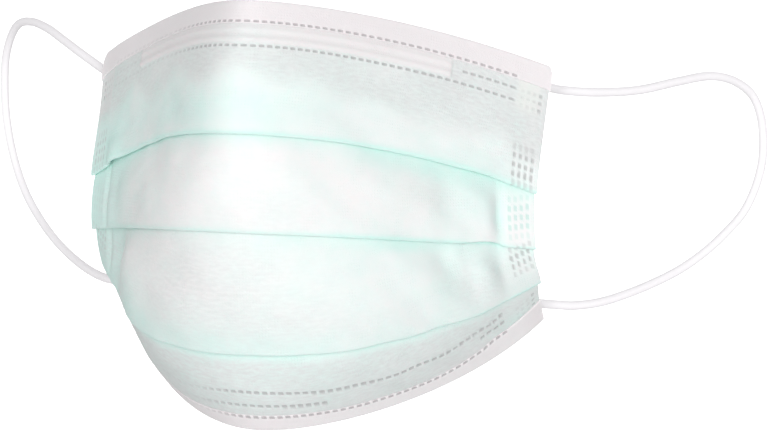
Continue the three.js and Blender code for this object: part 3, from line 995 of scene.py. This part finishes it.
# How much of the deep colour each place has. Below each fold it is painted shadow, fading down the panel, and
# along each fold edge it is a deeper line for the doubled cloth and its shade; round the middle panel's dots
# it is their own mint; the mint shade patches add painted shade and the white patches take it away; the
# hidden layers get it fully
def fold_shade_tint(columns, x, down, count, hidden, middle_dots):
    tint = np.zeros_like(down)
    for line in columns.lines[1:LAST_LINE]:
        below = down - line[:, None]
        # Painted shadow under each fold, fading down the panel below it, and a deeper line along the fold
        # edge for the doubled cloth and its shade
        tint += 0.35 * np.exp(-np.maximum(below, 0) / 3.0) * (below > -0.2)
        tint += 0.3 * bell(below, -0.2, 0.6)
    tint = tint + 3 * middle_dots
    tint = tint + 0.16 + patch_sum(MINT_SHADE_PATCHES, x, count) - patch_sum(WHITE_PATCHES, x, count)
    return np.where(hidden > 0, 1.0, np.clip(tint, 0, 1))


# How much of the grey lined colour each place gets: the turned-in hem of the top edge shows through with its
# wavy end, deeper at the right; the last panel below its fold is greyed as painted shade, greyer at the left;
# and the grey shade patches add painted shade, and painted light where their strength is negative
def lining_and_shade_tint(columns, x, down, count):
    hem_end = 14 + 3 * SOFT_WAVES(x, down * 0.4) + 4 * ramp(x, 15, 35)
    hem = 1 - smooth_step((down - hem_end) / 8)
    # Painted shade on the last panel, which faces down, greyer at the left
    last = lerp(1.15, 1.0, ramp(x, -10, 40)) * ramp(down - columns.lines[-2][:, None], 0.6, 3)
    return np.clip(0.85 * np.maximum(hem, last) + patch_sum(GREY_SHADE_PATCHES, x, count), 0, 1)


# Pale patches over the ends of the ear loops, and the wire's bar, which is weaker at its middle
def pale_tint(x, down, up):
    patch = ramp(np.abs(x), 77.5, 1.2) * np.maximum(1 - ramp(down, 16, 2), 1 - ramp(up, 15, 2))
    bar = wire_cover(x, down) * (1 - 0.6 * bell(x, 0, 9))
    return np.maximum(bar, np.where(x > 0, 0.1, 0.45) * patch)


# Creamy tint of the right top corner
def cream_tint(x, down):
    return 0.55 * ramp(x, 77, 3) * (1 - ramp(x, 83, 4)) * (1 - ramp(down, 12, 3))


# What the sheet's material needs to know about each place
def sheet_facts(columns, down, hidden):
    x = columns.x[:, None]
    up = columns.lines[-1][:, None] - down
    shown = 1 - hidden[None, :]
    count = columns.count_at(down)
    dots = [side_dots(x, down, grid) for grid in DOT_GRIDS]
    return {
        "weld": sheet_welds(x, down, up, dots) * shown,
        "folded": fold_shade_tint(columns, x, down, count, hidden, dots[1]),
        "lining_and_shade": lining_and_shade_tint(columns, x, down, count) * shown,
        "pale": pale_tint(x, down, up) * shown,
        "cream": cream_tint(x, down) * shown,
    }


LINING_STEP = 5  # the lining has one column for so many of the outer cloth
LINING_BAND = 62.0  # and one for every two beyond here


# The pleated sheet: its outer cloth, and its white lining with the rims at both sides
def folded_sheet():
    columns = Columns(body_columns())
    rows = body_rows(columns)
    down, out = stack(rows)
    hidden = np.array([row[2] for row in rows])
    x = columns.x[:, None]
    facts = sheet_facts(columns, down, hidden)
    out = out + wire_relief(x, down)
    front, back = thicken(down, out, CLOTH_THICKNESS)
    up = columns.lines[-1][:, None] - front[0]
    grooves = bell(front[0], TOP_ROWS_DOWN[0], GROOVE_REACH)
    grooves = grooves + bell(up - low_rise(x), BOTTOM_ROWS_UP[0], GROOVE_REACH)
    pressed = WELD_DEPTH * facts["weld"] + STRIP_WELD_DEPTH * grooves * (hidden < 1)
    outer = columns.points(front[0], front[1] - pressed)
    uv = flat_uv(columns, down, out)
    faces = lattice_faces(*outer.shape[:2], False).tolist()
    cloth = mesh_piece("pleated_outer_cloth", outer, faces, MINT, uv, facts)
    place_piece(cloth, "mask_body")

    last = len(columns.across) - 1
    step = np.where(np.abs(columns.x) > LINING_BAND, 2, LINING_STEP)
    chosen = np.flatnonzero(np.arange(last + 1) % step == 0)
    chosen = np.unique(np.append(chosen, [0, last]))
    inner = Columns(columns.across[chosen]).points(back[0][chosen], back[1][chosen])
    inner = np.concatenate([outer[:1], inner, outer[-1:]])
    chosen = np.concatenate([chosen[:1], chosen, chosen[-1:]])
    faces = lattice_faces(*inner.shape[:2], False)[:, ::-1].tolist()
    rim = np.zeros((len(chosen) - 1, inner.shape[1] - 1), bool)
    rim[[0, -1]] = True
    facts = {key: values[chosen] * (key == "folded") for key, values in facts.items()}
    lining = mesh_piece("pleated_lining", inner, faces, LINING, uv[chosen], facts, rim.ravel())
    place_piece(lining, "mask_body")
    return cloth, lining


# Rows of a strip's front leaf, as lengths from the edge of the sheet: its welded end, the stretch round its
# weld row, and the rest down to the turn
def leaf_rows(depth, weld_start, weld_end, rest, count):
    around_weld = np.arange(weld_start, weld_end, -0.16)
    return np.hstack([depth, depth - 0.1, around_weld, np.linspace(rest, EDGE_INSET, count)])


# How far the welded end of a strip's front leaf is pressed towards the sheet
def leaf_end(from_end):
    return 0.42 * (1 - ramp(from_end, 0.02, 0.34))


# The half turn of a strip round an edge of the sheet: facing is 1 at the bottom edge and -1 at the top edge
def edge_turn(columns, edge, facing, panel, steps=8):
    rows = []
    for step in range(1, steps):
        angle = math.pi * step / steps
        level = edge + facing * STRIP_OUT * math.sin(angle)
        rows.append((level, panel_out(columns, level, panel) + STRIP_OUT * math.cos(angle)))
    return rows


# The strip made from its rows. end_weld is the look of its welded end, and pale how much paler its leaf is
# made, which on the bottom strip is painted light.
def strip_piece(name, node, columns, down, out, weld, end_weld, pale):
    row = np.arange(down.shape[1])
    zero = np.zeros_like(down)
    leaf_edge = zero + (row < 3)
    facts = {
        "weld": np.maximum(weld, zero + end_weld * (row < 2)),
        "folded": zero,
        "lining_and_shade": leaf_edge,
        "pale": pale * (1 - leaf_edge),
    }
    pressed = STRIP_WELD_DEPTH * weld
    piece = sweep_strip(name, columns, down, out, STRIP_THICKNESS, STRIP, pressed, facts)
    return place_piece(piece, node)


# Top strip: a narrow front leaf, the fold over the edge, and an inner leaf over the wire
def top_strip():
    columns = Columns(strip_columns())
    x = columns.x
    drop = corner_drop(np.clip(x, -HALF_SHEET, HALF_SHEET))
    covered = 1 - ramp(np.abs(x), WIRE_LENGTH / 2, WIRE_RAMP)
    leaf = leaf_rows(TOP_STRIP_DEPTH, 6.03, 4.9, 4.7, 8)
    rows = []
    for down in leaf:
        level = below_corner(down, drop)
        raised = STRIP_OUT + wire_relief(x, level) - leaf_end(TOP_STRIP_DEPTH - down)
        rows.append((level, panel_out(columns, level, 0) + raised))
    rows.extend(edge_turn(columns, EDGE_INSET + drop, -1, 0))
    for down in np.linspace(EDGE_INSET, TOP_STRIP_BACK, 22):
        bar = 1 - ramp(abs(down - WIRE_DOWN), WIRE_WIDTH / 2, WIRE_RAMP)
        level = below_corner(down, drop)
        lift = (WIRE_THICKNESS + STRIP_GAP) * bar * covered
        rows.append((level, panel_out(columns, level, 0) - STRIP_OUT - lift))
    down, out = stack(rows)
    x = x[:, None]
    on_leaf = np.arange(down.shape[1]) < len(leaf)
    weld = dash_row(x, down - TOP_ROWS_DOWN[0], 0, ROW_END + 2) * on_leaf * weld_depth(x, False)
    return strip_piece("top_edge_strip", "top_binding", columns, down, out, weld, 0, np.zeros_like(down))


BOTTOM_TURN = 0.4  # how far the bottom strip reaches past the edge of the sheet
RISE_ROW = 4.2  # rows of its front leaf from here on rise fully at the right end
END_WELD = 0.6


# Bottom strip, folded over the bottom edge
def bottom_strip():
    columns = Columns(strip_columns())
    edge = columns.lines[-1]
    last_panel = LAST_LINE - 1
    leaf = leaf_rows(BOTTOM_STRIP_DEPTH, 5.43, 4.3, 4.1, 7)
    rise = low_rise(columns.x)
    rows = []
    for up in leaf:
        raised = STRIP_OUT - leaf_end(BOTTOM_STRIP_DEPTH - up)
        level = edge - up - rise * min((up - EDGE_INSET) / (RISE_ROW - EDGE_INSET), 1)
        rows.append((level, panel_out(columns, level, last_panel) + raised))
    rows.extend(edge_turn(columns, edge - EDGE_INSET + BOTTOM_TURN, 1, last_panel))
    for up in np.linspace(EDGE_INSET, BOTTOM_STRIP_BACK, 12):
        rows.append((edge - up, panel_out(columns, edge - up, last_panel) - STRIP_OUT))
    down, out = stack(rows)
    x = columns.x[:, None]
    on_leaf = np.arange(down.shape[1]) < len(leaf)
    from_row = edge[:, None] - down - BOTTOM_ROWS_UP[0] - low_rise(x)
    weld = dash_row(x, from_row, 0, ROW_END, LOW_DASH_HEIGHT) * on_leaf * weld_depth(x, True)
    # Painted light: the bottom strip's leaf is made paler towards the right, where it faces down, away from
    # the light
    painted_leaf_light = ramp(x, 5, 25) * (1 - ramp(x, 79, 6)) * on_leaf
    return strip_piece("bottom_edge_strip", "bottom_binding", columns, down, out, weld, END_WELD, painted_leaf_light)


WIRE_SKIN = 0.1  # taken off the wire's thickness, so that it lies free between the layers


# Flat wire between the sheet and the inner leaf of the top strip
def nose_strip():
    reach = WIRE_LENGTH / 2 / HALF_SHEET
    columns = Columns(np.linspace(-reach, reach, 121))
    behind = CLOTH_THICKNESS / 2 + STRIP_GAP / 2 + WIRE_THICKNESS / 2
    rows = []
    for down in np.linspace(WIRE_DOWN - WIRE_WIDTH / 2, WIRE_DOWN + WIRE_WIDTH / 2, 9):
        level = np.full_like(columns.across, down)
        rows.append((level, panel_out(columns, level, 0) - behind))
    down, out = stack(rows)
    thickness = WIRE_THICKNESS - WIRE_SKIN
    piece = sweep_strip("nose_strip", columns, down, out, thickness, WIRE, np.zeros_like(down), {})
    place_piece(piece, "nose_wire")


cloth, lining = folded_sheet()
top_edge = top_strip()
bottom_edge = bottom_strip()
nose_strip()


# A closed white box round the mask, which is seen but lights nothing
FLOOR_DROP = 60.0  # from the lowest solid to the floor
BOX_SIZE = 12.0  # in metres
WHITE = (1, 1, 1, 1)


def add_floor():
    low = cad_box[0].z - FLOOR_DROP * MM
    half = BOX_SIZE / 2
    corners = [
        (x, y, z)
        for z in (low, half)
        for x, y in ((-half, -half), (half, -half), (half, half), (-half, half))
    ]
    faces = [(0, 1, 2, 3), (7, 6, 5, 4), (1, 0, 4, 5), (2, 1, 5, 6), (3, 2, 6, 7), (0, 3, 7, 4)]
    mesh = bpy.data.meshes.new("floor")
    mesh.from_pydata(corners, [], faces)
    white = Surface(
        "floor", Roughness=0.9, Base_Color=(0.95, 0.95, 0.95, 1), Emission_Color=WHITE, Emission_Strength=1.0,
    )
    mesh.materials.append(white.material)
    floor = bpy.data.objects.new("floor", mesh)
    for rays in ("diffuse", "glossy", "transmission", "shadow"):
        setattr(floor, "visible_" + rays, False)
    bpy.context.scene.collection.objects.link(floor)


# White world, and soft suns from the right front and from behind
WORLD_STRENGTH = 0.525
SUN_ANGLE = 50  # degrees across, for soft shadows
SUNS = (  # name, strength as a share of pi, direction towards it
    ("key", 0.63, (0.28, -0.95, 0.10)),
    ("rear", 0.32, (0.10, 0.95, 0.25)),
)


def add_light():
    world = bpy.data.worlds.new("studio")
    world.use_nodes = True
    background = world.node_tree.nodes["Background"]
    background.inputs["Color"].default_value = WHITE
    background.inputs["Strength"].default_value = WORLD_STRENGTH
    bpy.context.scene.world = world
    for name, strength, towards in SUNS:
        data = bpy.data.lights.new(name, "SUN")
        data.energy = strength * math.pi
        data.angle = math.radians(SUN_ANGLE)
        light = bpy.data.objects.new(name, data)
        light.rotation_mode = "QUATERNION"
        light.rotation_quaternion = Vector(towards).normalized().to_track_quat("Z", "Y")
        bpy.context.scene.collection.objects.link(light)


add_floor()
add_light()
bpy.context.scene.view_settings.view_transform = "Standard"
